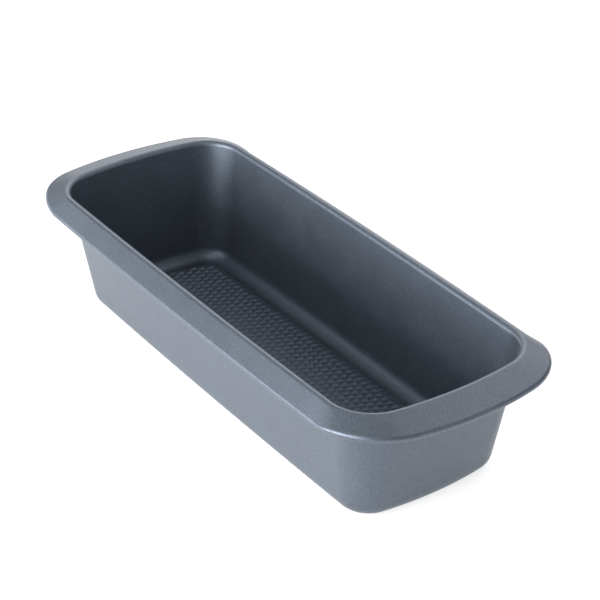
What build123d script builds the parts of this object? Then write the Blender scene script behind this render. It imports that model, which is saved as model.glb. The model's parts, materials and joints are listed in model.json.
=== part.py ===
from build123d import *
import math
import os

# Loaf pan: one drawn steel sheet with a wired edge, coated on both faces.
# Frame: +X along the length, +Y across, +Z up. Origin: centre of the footprint, on the table.
# Millimetres and degrees. "Depth" below is a depth into the sheet, from the food side.

# --- the sheet and its two coatings ---
COATING = 0.2
STEEL = 0.6
SHEET = STEEL + 2 * COATING
STEEL_FOOD_SIDE = COATING
STEEL_OUTSIDE = COATING + STEEL

# --- overall size ---
LENGTH = 340.0
WIDTH = 137.8
HEIGHT = 73.3

# --- plan outlines: a bowed end arc, a corner arc and a nearly straight side arc ---
# The arcs meet where the outline's normal has turned by these angles from +X.
WELL_END_TURN = 8.9
WELL_SIDE_TURN = 89.0
RIM_END_TURN = 11.1
RIM_SIDE_TURN = 88.75

# number of equal pieces that each arc is divided into
EDGE_PIECES = 5
CORNER_PIECES = 1

# --- the well (sizes of the food side) ---
MOUTH_HALF_LENGTH = 153.0
MOUTH_HALF_WIDTH = 58.7
MOUTH_CORNER = 25.6
END_DRAFT = 9.8
SIDE_DRAFT = 8.07
BASE_CORNER = 16.6
BASE_FILLET = 8.0
LIP_BEND = 2.8

# --- the flange, which falls outwards from the mouth ---
END_SLOPE = 16.8
SIDE_SLOPE = 40.9
FLANGE_CORNER = 55.8
FLANGE_DROP = 15.0

# --- the wired edge ---
BEAD_RADIUS = 1.9
BEAD_PROUD = 0.3
WIRE_RADIUS = BEAD_RADIUS - SHEET + COATING
RIM_CORNER = 38.2
ARC_STEP = 15.0
FILLET_SHARE = 0.96

# --- the raised panel in the base ---
PANEL_HALF_LENGTH = 129.5
PANEL_HALF_WIDTH = 36.9
PANEL_CORNER = 9.0
PANEL_RISE = 0.6
PANEL_SLOPE_RUN = 1.2

WALL_LEAN = math.radians((END_DRAFT + SIDE_DRAFT) / 2)
NEAR = 0.01
# the solids that are cut from each other run on past the sheet, and past the wall and
# flange's meeting line before it is rounded
BELOW = -10.0
FLANGE_RISE = 3.6
ABOVE = HEIGHT + 2 * FLANGE_RISE


def tan(degrees):
    return math.tan(math.radians(degrees))


def arc_radii(half_length, half_width, corner, end_turn, side_turn):
    """Radii of the end and side arcs that close a quarter of the outline."""
    sin_end, cos_end = math.sin(end_turn), math.cos(end_turn)
    sin_side, cos_side = math.sin(side_turn), math.cos(side_turn)
    across = half_width - corner * (sin_side - sin_end)
    along = half_length - corner * (cos_end - cos_side)
    scale = sin_end * cos_side - (1 - sin_side) * (1 - cos_end)
    end_radius = (across * cos_side - (1 - sin_side) * along) / scale
    side_radius = (sin_end * along - (1 - cos_end) * across) / scale
    return end_radius, side_radius


class Outline:
    """A rounded rectangle with bowed ends and very slightly bowed sides."""

    def __init__(self, half_length, half_width, corner, end_turn, side_turn):
        self.half_length = half_length
        self.half_width = half_width
        self.corner = corner
        self.end_turn = math.radians(end_turn)
        self.side_turn = math.radians(side_turn)
        self.end_radius, self.side_radius = arc_radii(
            half_length, half_width, corner, self.end_turn, self.side_turn
        )
        reach = self.end_radius - corner
        self.end_centre = half_length - self.end_radius
        self.side_centre = half_width - self.side_radius
        self.corner_x = self.end_centre + reach * math.cos(self.end_turn)
        self.corner_y = reach * math.sin(self.end_turn)

    def quarter_arc(self, turn):
        """Centre and radius of the arc whose normal points at a turn of 0 to 90 degrees."""
        if turn <= self.end_turn:
            return self.end_centre, 0.0, self.end_radius
        if turn <= self.side_turn:
            return self.corner_x, self.corner_y, self.corner
        return 0.0, self.side_centre, self.side_radius

    def support(self, turn):
        """Distance from the origin to the tangent whose normal has this turn."""
        x, y, radius = self.quarter_arc(turn)
        return x * math.cos(turn) + y * math.sin(turn) + radius

    def wire(self, z):
        half_turn, full_turn = math.pi, 2 * math.pi
        t_end, t_side = self.end_turn, self.side_turn
        x, y = self.corner_x, self.corner_y
        arcs = (
            (self.end_centre, 0.0, self.end_radius, -t_end, t_end),
            (x, y, self.corner, t_end, t_side),
            (0.0, self.side_centre, self.side_radius, t_side, half_turn - t_side),
            (-x, y, self.corner, half_turn - t_side, half_turn - t_end),
            (-self.end_centre, 0.0, self.end_radius, half_turn - t_end, half_turn + t_end),
            (-x, -y, self.corner, half_turn + t_end, half_turn + t_side),
            (0.0, -self.side_centre, self.side_radius, half_turn + t_side, full_turn - t_side),
            (x, -y, self.corner, full_turn - t_side, full_turn - t_end),
        )
        edges = []
        for centre_x, centre_y, radius, start, stop in arcs:
            plane = Plane(origin=(centre_x, centre_y, z))
            pieces = CORNER_PIECES if radius == self.corner else EDGE_PIECES
            step = math.degrees(stop - start) / pieces
            for index in range(pieces):
                first = math.degrees(start) + index * step
                edges.append(Edge.make_circle(radius, plane, first, first + step))
        return Wire(edges)


def frustum(low_outline, low_z, high_outline, high_z):
    """Solid between two outlines, with straight rulings."""
    return Solid.make_loft([low_outline.wire(low_z), high_outline.wire(high_z)], ruled=True)


# ---------------------------------------------------------------- the well

# the wall planes meet the height of the mouth a little inside the top of the bend
WALL_INSET = LIP_BEND / math.cos(WALL_LEAN) - LIP_BEND * math.tan(WALL_LEAN)


def wall_outline(z, depth):
    """Plan outline of the wall at height z, at a depth into the sheet."""
    fall = HEIGHT - z
    grow = depth / math.cos(WALL_LEAN) - WALL_INSET
    corner_loss = (MOUTH_CORNER - WALL_INSET - BASE_CORNER) * fall / HEIGHT
    return Outline(
        MOUTH_HALF_LENGTH + grow - fall * tan(END_DRAFT),
        MOUTH_HALF_WIDTH + grow - fall * tan(SIDE_DRAFT),
        MOUTH_CORNER + grow - corner_loss,
        WELL_END_TURN,
        WELL_SIDE_TURN,
    )


def panel_outline(grow):
    return Outline(
        PANEL_HALF_LENGTH + grow,
        PANEL_HALF_WIDTH + grow,
        PANEL_CORNER + grow,
        WELL_END_TURN,
        WELL_SIDE_TURN,
    )


def well(depth):
    """The space inside the pan, down to a depth into the sheet."""
    floor_z = SHEET - depth
    space = frustum(wall_outline(floor_z, depth), floor_z, wall_outline(ABOVE, depth), ABOVE)
    floor_edges = space.edges().filter_by_position(Axis.Z, floor_z - NEAR, floor_z + NEAR)
    space = space.fillet(BASE_FILLET + depth, floor_edges)
    panel = frustum(
        panel_outline(PANEL_SLOPE_RUN), floor_z, panel_outline(0.0), floor_z + PANEL_RISE
    )
    return space - panel


# ---------------------------------------------------------------- the flange


def flange_outline(drop, depth):
    """Plan outline of the flange's surface at a drop below the mouth."""
    mouth_end = LIP_BEND * tan(END_SLOPE / 2)
    mouth_side = LIP_BEND * tan(SIDE_SLOPE / 2)
    tighter = 1 / math.cos(math.radians(SIDE_SLOPE)) - 1 / math.cos(math.radians(END_SLOPE))
    side_inset = depth * tighter / tan(SIDE_SLOPE)
    corner_gain = (FLANGE_CORNER - MOUTH_CORNER) * drop / FLANGE_DROP
    return Outline(
        MOUTH_HALF_LENGTH + mouth_end + drop / tan(END_SLOPE),
        MOUTH_HALF_WIDTH + mouth_side - side_inset + drop / tan(SIDE_SLOPE),
        MOUTH_CORNER + (mouth_end + mouth_side - side_inset) / 2 + corner_gain,
        WELL_END_TURN,
        WELL_SIDE_TURN,
    )


def under_flange(depth):
    """Everything below the flange's surface, at a depth into the sheet."""
    top_z = HEIGHT - depth / math.cos(math.radians(END_SLOPE))
    return frustum(
        flange_outline(FLANGE_DROP, depth),
        top_z - FLANGE_DROP,
        flange_outline(-FLANGE_RISE, depth),
        top_z + FLANGE_RISE,
    )


RIM = Outline(LENGTH / 2, WIDTH / 2, RIM_CORNER, RIM_END_TURN, RIM_SIDE_TURN)
BEAD_CENTRE = Outline(
    LENGTH / 2 - BEAD_RADIUS,
    WIDTH / 2 - BEAD_RADIUS,
    RIM_CORNER - BEAD_RADIUS,
    RIM_END_TURN,
    RIM_SIDE_TURN,
)


def below_sheet(depth):
    """Everything under the sheet at a depth into it, out to the middle of the wired edge."""
    skirt_z = HEIGHT - depth / math.cos(math.radians(END_SLOPE)) - FLANGE_DROP
    skirt = Face(flange_outline(FLANGE_DROP, depth).wire(BELOW))
    low = Solid.extrude(skirt, Vector(0, 0, skirt_z - BELOW))
    cover = Solid.extrude(Face(BEAD_CENTRE.wire(BELOW)), Vector(0, 0, ABOVE - BELOW))
    block = ((under_flange(depth) + low) & cover) - well(depth)
    lowest_z = HEIGHT - SHEET - LIP_BEND
    mouth_edges = [edge for edge in block.edges() if edge.bounding_box().min.Z > lowest_z]
    return block.solid().fillet(LIP_BEND - depth, mouth_edges)


# ---------------------------------------------------------------- the wired edge


def bead_height(turn):
    """Height of the wired edge's centre where the rim's normal has this turn."""
    mouth = flange_outline(0.0, 0.0).support(turn)
    skirt = flange_outline(FLANGE_DROP, 0.0).support(turn)
    slope = math.atan2(FLANGE_DROP, skirt - mouth)
    surface = HEIGHT - (BEAD_CENTRE.support(turn) - mouth) * math.tan(slope)
    return surface - (BEAD_RADIUS - BEAD_PROUD) / math.cos(slope)


def bead_path():
    """Closed centre line of the wired edge: short arcs that climb from side to end and back."""
    outline = BEAD_CENTRE
    spans = (
        (-outline.end_turn, outline.end_turn),
        (outline.end_turn, outline.side_turn),
        (outline.side_turn, math.pi - outline.side_turn),
        (math.pi - outline.side_turn, math.pi - outline.end_turn),
    )
    points = []
    radii = []
    for half in (0, math.pi):
        for start, stop in spans:
            steps = math.ceil(math.degrees(stop - start) / ARC_STEP)
            step = (stop - start) / steps
            for index in range(steps):
                turn = start + (index + 0.5) * step + half
                x, y, z, radius = path_corner(turn, step)
                points.append(Vector(x, y, z))
                radii.append(radius * FILLET_SHARE)
    return FilletPolyline(*points, radius=radii, close=True).wire()


def path_corner(turn, step):
    """Corner of the polyline whose fillet is one arc of the bead, with that arc's radius."""
    mirror_x = math.copysign(1, math.cos(turn))
    mirror_y = math.copysign(1, math.sin(turn))
    first_quarter = math.atan2(abs(math.sin(turn)), abs(math.cos(turn)))
    centre_x, centre_y, radius = BEAD_CENTRE.quarter_arc(first_quarter)
    reach = radius / math.cos(step / 2)
    x = mirror_x * (centre_x + reach * math.cos(first_quarter))
    y = mirror_y * (centre_y + reach * math.sin(first_quarter))
    return x, y, bead_height(first_quarter), radius


def bead(radius, path):
    """Solid ring of this radius along the wired edge."""
    start = path.edges()[0]
    section = Face(Wire(Edge.make_circle(radius, Plane(origin=start @ 0, z_dir=start % 0))))
    return Solid.sweep(section, path)


# ---------------------------------------------------------------- the pieces


def build_pieces():
    """The four pieces: the sheet, the wire in its rolled edge and the coating on each face."""
    path = bead_path()
    wire = bead(WIRE_RADIUS, path)
    closed_edge = bead(BEAD_RADIUS, path)
    steel_edge = bead(BEAD_RADIUS - COATING, path)
    food_face = below_sheet(0.0)
    steel_top = below_sheet(STEEL_FOOD_SIDE)
    steel_bottom = below_sheet(STEEL_OUTSIDE)
    outer_face = below_sheet(SHEET)
    steel = ((steel_top - steel_bottom) + steel_edge) - wire
    inner_coating = ((food_face - steel_top) + (closed_edge - steel_edge)) - steel - wire
    outer_coating = (steel_bottom - outer_face) - closed_edge
    return {
        "pan_shell": steel,
        "rim_wire": wire,
        "inner_coating": inner_coating,
        "outer_coating": outer_coating,
    }


os.makedirs("parts", exist_ok=True)
for name, piece in build_pieces().items():
    export_step(piece, f"parts/{name}.step")
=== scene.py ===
import json
import math

import bpy
from mathutils import Matrix, Vector
from mathutils.geometry import delaunay_2d_cdt

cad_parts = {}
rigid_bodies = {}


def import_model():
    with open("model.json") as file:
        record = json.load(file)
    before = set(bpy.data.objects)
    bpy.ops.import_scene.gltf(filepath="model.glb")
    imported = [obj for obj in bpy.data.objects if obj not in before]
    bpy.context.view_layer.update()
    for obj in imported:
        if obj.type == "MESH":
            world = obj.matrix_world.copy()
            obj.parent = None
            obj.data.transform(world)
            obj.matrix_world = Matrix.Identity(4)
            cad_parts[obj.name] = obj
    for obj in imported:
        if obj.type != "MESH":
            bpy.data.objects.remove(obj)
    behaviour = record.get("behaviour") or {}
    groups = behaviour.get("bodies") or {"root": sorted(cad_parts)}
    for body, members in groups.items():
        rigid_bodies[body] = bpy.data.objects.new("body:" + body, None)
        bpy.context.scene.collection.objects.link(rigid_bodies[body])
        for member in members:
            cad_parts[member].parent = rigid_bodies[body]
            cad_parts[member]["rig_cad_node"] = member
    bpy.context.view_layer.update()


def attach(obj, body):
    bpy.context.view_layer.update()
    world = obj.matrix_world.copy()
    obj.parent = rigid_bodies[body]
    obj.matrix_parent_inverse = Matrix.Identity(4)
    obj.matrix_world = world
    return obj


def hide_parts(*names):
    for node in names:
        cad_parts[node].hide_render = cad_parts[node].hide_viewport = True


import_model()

MM = 0.001
HALF_TURN = math.pi
QUARTER_TURN = math.pi / 2

# ------------------------------------------------------------------ camera

CAMERA_AZIMUTH = math.radians(54.84)
CAMERA_ELEVATION = math.radians(30.89)
CAMERA_DISTANCE = 1.0343
CAMERA_TARGET = Vector((-0.0159, 0.0291, 0.030))

back = Vector((
    math.sin(CAMERA_AZIMUTH) * math.cos(CAMERA_ELEVATION),
    -math.cos(CAMERA_AZIMUTH) * math.cos(CAMERA_ELEVATION),
    math.sin(CAMERA_ELEVATION),
))
right = Vector((math.cos(CAMERA_AZIMUTH), math.sin(CAMERA_AZIMUTH), 0.0))
up = back.cross(right)

camera_data = bpy.data.cameras.new("camera")
camera_data.sensor_width = 36.0
camera_data.lens = 110.24
camera_data.shift_x = -0.0105
camera_data.shift_y = 0.0009
camera_data.clip_start = 0.05
camera_data.clip_end = 50.0
camera = bpy.data.objects.new("camera", camera_data)
bpy.context.collection.objects.link(camera)
camera.matrix_world = Matrix.Translation(CAMERA_TARGET + back * CAMERA_DISTANCE) @ Matrix((
    (right.x, up.x, back.x, 0.0),
    (right.y, up.y, back.y, 0.0),
    (right.z, up.z, back.z, 0.0),
    (0.0, 0.0, 0.0, 1.0),
))
bpy.context.scene.camera = camera

# ------------------------------------------------------------------ sizes, in millimetres

SHEET = 1.0
LENGTH = 340.0
WIDTH = 137.8
HEIGHT = 73.3

# direction of an outline's normal where its end meets a corner, and that corner a side
WELL_TURNS = (math.radians(8.9), math.radians(89.0))
RIM_TURNS = (math.radians(11.1), math.radians(88.75))

# half length, half width and corner radius
MOUTH = (153.0, 58.7, 25.6)
END_DRAFT = math.radians(9.8)
SIDE_DRAFT = math.radians(8.07)
BASE_CORNER = 16.6
BASE_FILLET = 8.0
LIP_BEND = 2.8

END_SLOPE = math.radians(16.8)
SIDE_SLOPE = math.radians(40.9)
# the flange's corner radius grows from the mouth's to about this one, over this drop
FLANGE_CORNER = 55.8
FLANGE_DROP = 15.0

# the rolled edge: its radius, its stand above the flange, its bore's radius, and the corner
# radius of its outermost line
BEAD_RADIUS = 1.9
BEAD_PROUD = 0.3
CURL_BORE = 1.12
RIM_CORNER = 38.2

# half length, half width and corner radius of the raised panel, then its border's slope
PANEL = (129.5, 36.9, 9.0)
PANEL_RISE = 0.6
PANEL_RUN = 1.2

STUD_PITCH_X = 4.73
STUD_PITCH_Y = 4.6
STUD_HEIGHT = 0.85
# shares of a stud's pitch, from its middle: edge of its top, and foot of its flank
STUD_TOP = 0.05
STUD_FOOT = 0.48
# shares of a stud's height: its crown above its top's edge, and its hollow underneath
STUD_CROWN = 0.05
STUD_UNDERSIDE = 0.6
# along the panel's border: flat strip kept free of studs, then the strip in which they rise
PANEL_MARGIN = 0.45
PANEL_FADE = 1.6

# ------------------------------------------------------------------ steps of the mesh

# round each arc of an outline: end, corner and side
ARC_STEPS = {"end": 28, "corner": 30, "side": 60}

# along each curve of the section
BORDER_STEPS = 6
FILLET_STEPS = 10
LIP_STEPS = 16
CURL_STEPS = 30
BORE_STEPS = 24

# rows of points up the wall and down the flange, close to the bends that they run into
WALL_SHARES = (0.01, 0.1, 0.2, 0.3, 0.4, 0.5, 0.6, 0.7, 0.8, 0.9, 0.99)
FLANGE_SHARES = (0.05, 0.2, 0.4, 0.6, 0.8, 0.95)

# ------------------------------------------------------------------ small helpers


def spread(start, stop, steps):
    """Evenly spaced values from start to stop, both included."""
    return [start + (stop - start) * step / steps for step in range(steps + 1)]


def smooth(share):
    """An eased step from 0 to 1, held at both ends."""
    share = min(1.0, max(0.0, share))
    return share * share * (3 - 2 * share)


def raised(point, z):
    """A plan point at a height."""
    return Vector((point.x, point.y, z))


# ------------------------------------------------------------------ plan outlines


class Outline:
    """A rounded rectangle with bowed ends and almost straight sides, made of eight arcs."""

    def __init__(self, half_length, half_width, corner, turns):
        end, side = turns
        sin_end, cos_end = math.sin(end), math.cos(end)
        sin_side, cos_side = math.sin(side), math.cos(side)
        # an end's arc and a side's arc both touch the corner's, which gives their two radii
        across = half_width - corner * (sin_side - sin_end)
        along = half_length - corner * (cos_end - cos_side)
        scale = sin_end * cos_side - (1 - sin_side) * (1 - cos_end)
        self.turns = turns
        self.end_radius = (across * cos_side - (1 - sin_side) * along) / scale
        self.side_radius = (sin_end * along - (1 - cos_end) * across) / scale
        self.corner = corner
        self.end_x = half_length - self.end_radius
        self.side_y = half_width - self.side_radius
        self.corner_x = self.end_x + (self.end_radius - corner) * cos_end
        self.corner_y = (self.end_radius - corner) * sin_end

    def arc(self, index):
        """Centre, radius and the two limits of one of the eight arcs, in order from +X."""
        end, side = self.turns
        x, y = self.corner_x, self.corner_y
        return (
            (self.end_x, 0.0, self.end_radius, -end, end),
            (x, y, self.corner, end, side),
            (0.0, self.side_y, self.side_radius, side, HALF_TURN - side),
            (-x, y, self.corner, HALF_TURN - side, HALF_TURN - end),
            (-self.end_x, 0.0, self.end_radius, HALF_TURN - end, HALF_TURN + end),
            (-x, -y, self.corner, HALF_TURN + end, HALF_TURN + side),
            (0.0, -self.side_y, self.side_radius, HALF_TURN + side, 2 * HALF_TURN - side),
            (x, -y, self.corner, 2 * HALF_TURN - side, 2 * HALF_TURN - end),
        )[index]

    def at(self, station):
        """Point and outward normal at a station (arc, share of that arc)."""
        x, y, radius, start, stop = self.arc(station[0])
        turn = start + (stop - start) * station[1]
        normal = Vector((math.cos(turn), math.sin(turn)))
        return Vector((x, y)) + normal * radius, normal

    def support(self, station):
        """Distance from the pan's middle to the outline's tangent at a station."""
        point, normal = self.at(station)
        return point.dot(normal)

    def inset(self, x, y):
        """How far a point lies inside the outline."""
        x, y = abs(x), abs(y)
        from_end = self.end_radius - math.hypot(x - self.end_x, y)
        from_side = self.side_radius - math.hypot(x, y - self.side_y)
        inset = min(from_end, from_side)
        if x > self.corner_x and y > self.corner_y:
            inset = min(inset, self.corner - math.hypot(x - self.corner_x, y - self.corner_y))
        return inset


KINDS = ("end", "corner", "side", "corner") * 2
STATIONS = [
    (arc, step / ARC_STEPS[kind])
    for arc, kind in enumerate(KINDS)
    for step in range(ARC_STEPS[kind])
]

LEAN = (END_DRAFT + SIDE_DRAFT) / 2
# the wall, carried straight on up to the full height, would end this far inside the mouth's line
WALL_INSET = LIP_BEND / math.cos(LEAN) - LIP_BEND * math.tan(LEAN)


def wall_outline(z, depth):
    """The well's outline at a height, for the face at a depth into the sheet."""
    fall = HEIGHT - z
    grow = depth / math.cos(LEAN) - WALL_INSET
    corner_loss = (MOUTH[2] - WALL_INSET - BASE_CORNER) * fall / HEIGHT
    return Outline(
        MOUTH[0] + grow - fall * math.tan(END_DRAFT),
        MOUTH[1] + grow - fall * math.tan(SIDE_DRAFT),
        MOUTH[2] + grow - corner_loss,
        WELL_TURNS,
    )


def flange_outline(drop):
    """Outline of the flange's upper face at a drop below the full height."""
    end = LIP_BEND * math.tan(END_SLOPE / 2)
    side = LIP_BEND * math.tan(SIDE_SLOPE / 2)
    return Outline(
        MOUTH[0] + end + drop / math.tan(END_SLOPE),
        MOUTH[1] + side + drop / math.tan(SIDE_SLOPE),
        MOUTH[2] + (end + side) / 2 + (FLANGE_CORNER - MOUTH[2]) * drop / FLANGE_DROP,
        WELL_TURNS,
    )


# the bend between wall and flange is highest on the mouth's line, right above its centre
MOUTH_LINE = Outline(*MOUTH, WELL_TURNS)
BEAD_LINE = Outline(
    LENGTH / 2 - BEAD_RADIUS, WIDTH / 2 - BEAD_RADIUS, RIM_CORNER - BEAD_RADIUS, RIM_TURNS
)
FLANGE_TOP = flange_outline(0.0)
FLANGE_SKIRT = flange_outline(FLANGE_DROP)
PANEL_LINE = Outline(*PANEL, WELL_TURNS)
PANEL_FOOT = Outline(
    PANEL[0] + PANEL_RUN, PANEL[1] + PANEL_RUN, PANEL[2] + PANEL_RUN, WELL_TURNS
)

# ------------------------------------------------------------------ the sheet's two faces


def flange_slope(station):
    """Fall of the flange at a station, from the supports of its upper and lower outlines."""
    run = FLANGE_SKIRT.support(station) - FLANGE_TOP.support(station)
    return math.atan2(FLANGE_DROP, run)


def bead_frame(station):
    """Centre of the rolled edge with its outward (down the flange) and upward directions."""
    centre, normal = BEAD_LINE.at(station)
    slope = flange_slope(station)
    across = BEAD_LINE.support(station) - FLANGE_TOP.support(station)
    z = HEIGHT - across * math.tan(slope) - (BEAD_RADIUS - BEAD_PROUD) / math.cos(slope)
    outward = Vector((normal.x * math.cos(slope), normal.y * math.cos(slope), -math.sin(slope)))
    upward = Vector((normal.x * math.sin(slope), normal.y * math.sin(slope), math.cos(slope)))
    return raised(centre, z), outward, upward


def well_profile(station, depth):
    """Points up one face of the sheet: panel border, fillet, wall and mouth bend."""
    floor_z = SHEET - depth
    low = wall_outline(floor_z, depth)
    high = wall_outline(HEIGHT, depth)
    lean = math.atan2(high.support(station) - low.support(station), HEIGHT - floor_z)
    points = []
    panel_top, _ = PANEL_LINE.at(station)
    panel_foot, _ = PANEL_FOOT.at(station)
    for share in spread(0.0, 1.0, BORDER_STEPS)[1:]:
        plan = panel_top.lerp(panel_foot, share)
        points.append(raised(plan, floor_z + PANEL_RISE * (1 - smooth(share))))

    foot, normal = low.at(station)
    radius = BASE_FILLET + depth
    sweep = QUARTER_TURN - lean
    tangent = radius * math.tan(sweep / 2)
    for angle in spread(0.0, sweep, FILLET_STEPS):
        plan = foot - normal * (tangent - radius * math.sin(angle))
        points.append(raised(plan, floor_z + radius * (1 - math.cos(angle))))

    mouth, normal = MOUTH_LINE.at(station)
    radius = LIP_BEND - depth
    middle_z = HEIGHT - LIP_BEND
    bend = []
    for angle in spread(HALF_TURN - lean, QUARTER_TURN - flange_slope(station), LIP_STEPS):
        plan = mouth + normal * (radius * math.cos(angle))
        bend.append(raised(plan, middle_z + radius * math.sin(angle)))
    wall_foot = points[-1]
    points += [wall_foot.lerp(bend[0], share) for share in WALL_SHARES]
    return points + bend


# angles round the roll in its own section, from its top outwards: the outside starts on the
# flange and stops at the sheet's cut end, and the bore goes from there to the flange's underside
CURL_START = math.radians(-2.0)
CURL_STOP = math.radians(282.0)
BORE_STOP = math.radians(-56.5)


def edge_profile(station):
    """Points round the rolled edge to its cut end, and back along its bore."""
    centre, outward, upward = bead_frame(station)

    def arc(radius, start, stop, steps):
        return [
            centre + outward * (radius * math.sin(angle)) + upward * (radius * math.cos(angle))
            for angle in spread(start, stop, steps)
        ]

    roll = arc(BEAD_RADIUS, CURL_START, CURL_STOP, CURL_STEPS)
    bore = arc(CURL_BORE, CURL_STOP, BORE_STOP, BORE_STEPS)
    return roll + bore


def section(station):
    """One closed section of the sheet, from the panel's upper edge to its lower edge."""
    food_side = well_profile(station, 0.0)
    edge = edge_profile(station)
    outside = well_profile(station, SHEET)
    flange = [food_side[-1].lerp(edge[0], share) for share in FLANGE_SHARES]
    under = [edge[-1].lerp(outside[-1], share) for share in FLANGE_SHARES]
    return food_side + flange + edge + under + outside[::-1]


def ring_faces(count, rows):
    """Quads between neighbouring sections, all round the pan."""
    faces = []
    for index in range(count):
        other = (index + 1) % count
        for row in range(rows - 1):
            faces.append((
                index * rows + row,
                index * rows + row + 1,
                other * rows + row + 1,
                other * rows + row,
            ))
    return faces


# ------------------------------------------------------------------ the studded panel


def stud_height(x, y):
    """Height of the pressed diamond studs over the panel, fading out at its border."""
    across = x / STUD_PITCH_X
    along = y / (2 * STUD_PITCH_Y)
    p, q = across + along, across - along
    off_centre = max(abs(p - round(p)), abs(q - round(q)))
    flank = (STUD_FOOT - off_centre) / (STUD_FOOT - STUD_TOP)
    rise = min(1.0, max(0.0, flank)) + STUD_CROWN * max(0.0, 1 - off_centre / STUD_TOP)
    return STUD_HEIGHT * rise * smooth((PANEL_LINE.inset(x, y) - PANEL_MARGIN) / PANEL_FADE)


def panel_studs():
    """Middle, top corners and foot corners of every stud in the panel, with its edges."""
    reach = math.ceil(PANEL[0] / STUD_PITCH_X + PANEL[1] / (2 * STUD_PITCH_Y)) + 1
    corners = ((1, 1), (1, -1), (-1, -1), (-1, 1))
    middle, top, foot = range(3)
    rings = ((middle, 0.0, corners[:1]), (top, STUD_TOP, corners), (foot, STUD_FOOT, corners))
    points = []
    edges = []
    for i in range(-reach, reach + 1):
        for j in range(-reach, reach + 1):
            index_of = {}
            for ring, size, directions in rings:
                for side, (p, q) in enumerate(directions):
                    x = (i + j + (p + q) * size) / 2 * STUD_PITCH_X
                    y = (i - j + (p - q) * size) * STUD_PITCH_Y
                    if PANEL_LINE.inset(x, y) > PANEL_MARGIN:
                        index_of[ring, side] = len(points)
                        points.append(Vector((x, y)))
            for side in range(4):
                following = (side + 1) % 4
                for start, stop in (
                    ((top, side), (top, following)),
                    ((foot, side), (foot, following)),
                    ((top, side), (foot, side)),
                    ((middle, 0), (top, side)),
                ):
                    if start in index_of and stop in index_of:
                        edges.append((index_of[start], index_of[stop]))
    return points, edges


def panel_plan():
    """Points and triangles of the panel in plan, and the places of its border's points."""
    border = [PANEL_LINE.at(station)[0] for station in STATIONS]
    count = len(border)
    loop = [(index, (index + 1) % count) for index in range(count)]
    studs, edges = panel_studs()
    lines = loop + [(first + count, last + count) for first, last in edges]
    inside_only = 1
    same_point = 1e-6
    points, _, triangles, origins, _, _ = delaunay_2d_cdt(
        border + studs, lines, [], inside_only, same_point
    )
    place = {old: new for new, olds in enumerate(origins) for old in olds}
    return points, triangles, [place[index] for index in range(count)]


# ------------------------------------------------------------------ the pan

# an edge that turns by more than this is sharp
SHARP_TURN = math.radians(30.0)


def build_pan():
    """The coated sheet as one closed skin: the sections' ring, and the panel's two faces."""
    sections = [section(station) for station in STATIONS]
    count = len(sections)
    rows = len(sections[0])
    vertices = [point * MM for points in sections for point in points]
    faces = ring_faces(count, rows)

    plan, triangles, border = panel_plan()
    food_side = (0.0, 1.0, 0, False)
    outside = (SHEET, STUD_UNDERSIDE, rows - 1, True)
    for depth, stud_share, inner_row, turned in (food_side, outside):
        base_z = SHEET - depth + PANEL_RISE
        start = len(vertices)
        for point in plan:
            z = base_z + stud_height(point.x, point.y) * stud_share
            vertices.append(Vector((point.x, point.y, z)) * MM)
        panel = [tuple(start + corner for corner in triangle) for triangle in triangles]
        for index in range(count):
            other = (index + 1) % count
            panel.append((
                start + border[index],
                index * rows + inner_row,
                other * rows + inner_row,
                start + border[other],
            ))
        faces += [face[::-1] if turned else face for face in panel]

    mesh = bpy.data.meshes.new("coated_pan")
    mesh.from_pydata(vertices, [], faces)
    mesh.validate()
    mesh.update()
    mesh.set_sharp_from_angle(angle=SHARP_TURN)
    # the sections' quads are smooth, and the studs' triangles stay faceted
    for face in mesh.polygons:
        face.use_smooth = face.loop_total == 4
    pan = bpy.data.objects.new("coated_pan", mesh)
    bpy.context.collection.objects.link(pan)
    return pan


# ------------------------------------------------------------------ materials


def new_material(name):
    """A node material, with its node tree and the shader in it."""
    material = bpy.data.materials.new(name)
    material.use_nodes = True
    tree = material.node_tree
    return material, tree, tree.nodes["Principled BSDF"]


def noise(tree, scale, detail, roughness):
    """Noise fixed to the object, with its scale per metre."""
    coords = tree.nodes.new("ShaderNodeTexCoord")
    node = tree.nodes.new("ShaderNodeTexNoise")
    node.inputs["Scale"].default_value = scale
    node.inputs["Detail"].default_value = detail
    node.inputs["Roughness"].default_value = roughness
    tree.links.new(coords.outputs["Object"], node.inputs["Vector"])
    return node.outputs["Fac"]


def two_tone(tree, source, low, high, dark, light):
    """Colour that goes from dark to light as the source goes from low to high."""
    node = tree.nodes.new("ShaderNodeValToRGB")
    for index, (position, colour) in enumerate(((low, dark), (high, light))):
        element = node.color_ramp.elements[index]
        element.position = position
        element.color = (*colour, 1.0)
    tree.links.new(source, node.inputs["Fac"])
    return node.outputs["Color"]


def vary_roughness(tree, shader, source, low, high):
    """Roughness that follows the source, between two values."""
    node = tree.nodes.new("ShaderNodeMapRange")
    node.inputs["To Min"].default_value = low
    node.inputs["To Max"].default_value = high
    tree.links.new(source, node.inputs["Value"])
    tree.links.new(node.outputs["Result"], shader.inputs["Roughness"])


SLATE_DARK = (0.087, 0.104, 0.130)
SLATE_LIGHT = (0.137, 0.164, 0.205)
CLOUD_DARK = (0.94, 0.94, 0.94)
WHITE = (1.0, 1.0, 1.0)


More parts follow.
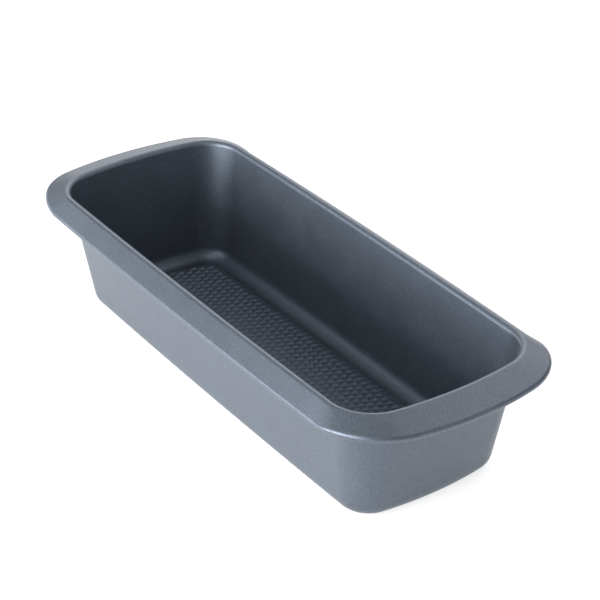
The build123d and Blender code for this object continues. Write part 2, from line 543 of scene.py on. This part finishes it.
def coating_material(name):
    """Satin slate non-stick film: metallic body with fine speckle and an orange-peel surface."""
    material, tree, shader = new_material(name)
    shader.inputs["Metallic"].default_value = 0.85
    shader.inputs["Coat Weight"].default_value = 0.3
    shader.inputs["Coat Roughness"].default_value = 0.28

    grain = noise(tree, scale=1500.0, detail=1.0, roughness=0.6)
    mottle = noise(tree, scale=60.0, detail=3.0, roughness=0.5)
    mix = tree.nodes.new("ShaderNodeMix")
    mix.data_type = "RGBA"
    mix.blend_type = "MULTIPLY"
    mix.inputs["Factor"].default_value = 1.0
    tree.links.new(two_tone(tree, grain, 0.3, 0.7, SLATE_DARK, SLATE_LIGHT), mix.inputs["A"])
    tree.links.new(two_tone(tree, mottle, 0.3, 0.7, CLOUD_DARK, WHITE), mix.inputs["B"])
    tree.links.new(mix.outputs["Result"], shader.inputs["Base Color"])
    vary_roughness(tree, shader, mottle, 0.45, 0.55)

    bump = tree.nodes.new("ShaderNodeBump")
    bump.inputs["Strength"].default_value = 0.25
    bump.inputs["Distance"].default_value = 0.06 * MM
    tree.links.new(grain, bump.inputs["Height"])
    tree.links.new(bump.outputs["Normal"], shader.inputs["Normal"])
    return material


def steel_material(name, tint):
    """Bare drawn steel, with a fine mottle in its colour and roughness."""
    material, tree, shader = new_material(name)
    shader.inputs["Metallic"].default_value = 1.0
    mottle = noise(tree, scale=900.0, detail=3.0, roughness=0.5)
    dark = (tint * 0.8, tint * 0.8, tint * 0.82)
    light = (tint, tint, tint * 1.01)
    tree.links.new(two_tone(tree, mottle, 0.0, 1.0, dark, light), shader.inputs["Base Color"])
    vary_roughness(tree, shader, mottle, 0.28, 0.42)
    return material


def floor_material(name):
    """Matt white that glows a little, so that it renders as plain white."""
    material, _, shader = new_material(name)
    shader.inputs["Base Color"].default_value = (0.6, 0.6, 0.6, 1.0)
    shader.inputs["Roughness"].default_value = 0.9
    shader.inputs["Emission Color"].default_value = (*WHITE, 1.0)
    shader.inputs["Emission Strength"].default_value = 0.7
    return material


# ------------------------------------------------------------------ pieces

pan = build_pan()
pan.data.materials.append(coating_material("coating"))
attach(pan, "root")
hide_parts("pan_shell", "inner_coating", "outer_coating")

wire = next(item for item in bpy.data.objects if item.get("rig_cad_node") == "rim_wire")
wire.data.materials.clear()
wire.data.materials.append(steel_material("wire_steel", tint=0.55))

# ------------------------------------------------------------------ floor and lights, in metres

FLOOR_HALF = 30.0
# the floor lies this far below the pan's base, so that the two never share a plane
FLOOR_DROP = 0.0001
LIGHT_TARGET = Vector((0.0, 0.0, 0.04))
LIGHT_DISTANCE = 1.6

floor_mesh = bpy.data.meshes.new("floor")
floor_mesh.from_pydata(
    [
        (FLOOR_HALF * x, FLOOR_HALF * y, -FLOOR_DROP)
        for x, y in ((-1, -1), (1, -1), (1, 1), (-1, 1))
    ],
    [],
    [(0, 1, 2, 3)],
)
floor = bpy.data.objects.new("floor", floor_mesh)
bpy.context.collection.objects.link(floor)
floor_mesh.materials.append(floor_material("floor"))


def softbox(name, azimuth, elevation, size, power):
    """Area light on a sphere round the pan, aimed at it, at angles in degrees."""
    a, e = math.radians(azimuth), math.radians(elevation)
    direction = Vector((math.sin(a) * math.cos(e), -math.cos(a) * math.cos(e), math.sin(e)))
    data = bpy.data.lights.new(name, "AREA")
    data.shape = "RECTANGLE"
    data.size, data.size_y = size
    data.energy = power
    light = bpy.data.objects.new(name, data)
    bpy.context.collection.objects.link(light)
    light.location = LIGHT_TARGET + direction * LIGHT_DISTANCE
    light.rotation_euler = direction.to_track_quat("Z", "Y").to_euler()


# two strong boxes in front of the long side, and weaker ones all round and above
softbox("key_low", -5.0, 11.0, (1.6, 0.7), 38.0)
softbox("key_high", -5.0, 32.0, (1.6, 0.8), 18.5)
softbox("left_low", -75.0, 8.0, (0.9, 0.5), 5.6)
softbox("back_left", -120.0, 30.0, (0.9, 0.8), 5.4)
softbox("back_left_low", -135.0, 6.0, (1.7, 0.4), 1.2)
softbox("back", -150.0, 30.0, (0.9, 0.8), 4.2)
softbox("back_high", 180.0, 55.0, (0.9, 0.8), 3.2)
softbox("back_right", 120.0, 30.0, (0.9, 0.8), 2.2)
softbox("top", 0.0, 75.0, (0.9, 0.8), 2.8)

world = bpy.data.worlds.new("studio")
bpy.context.scene.world = world
world.use_nodes = True
background = world.node_tree.nodes["Background"]
background.inputs["Color"].default_value = (*WHITE, 1.0)
background.inputs["Strength"].default_value = 0.3

bpy.context.scene.view_settings.view_transform = "Standard"
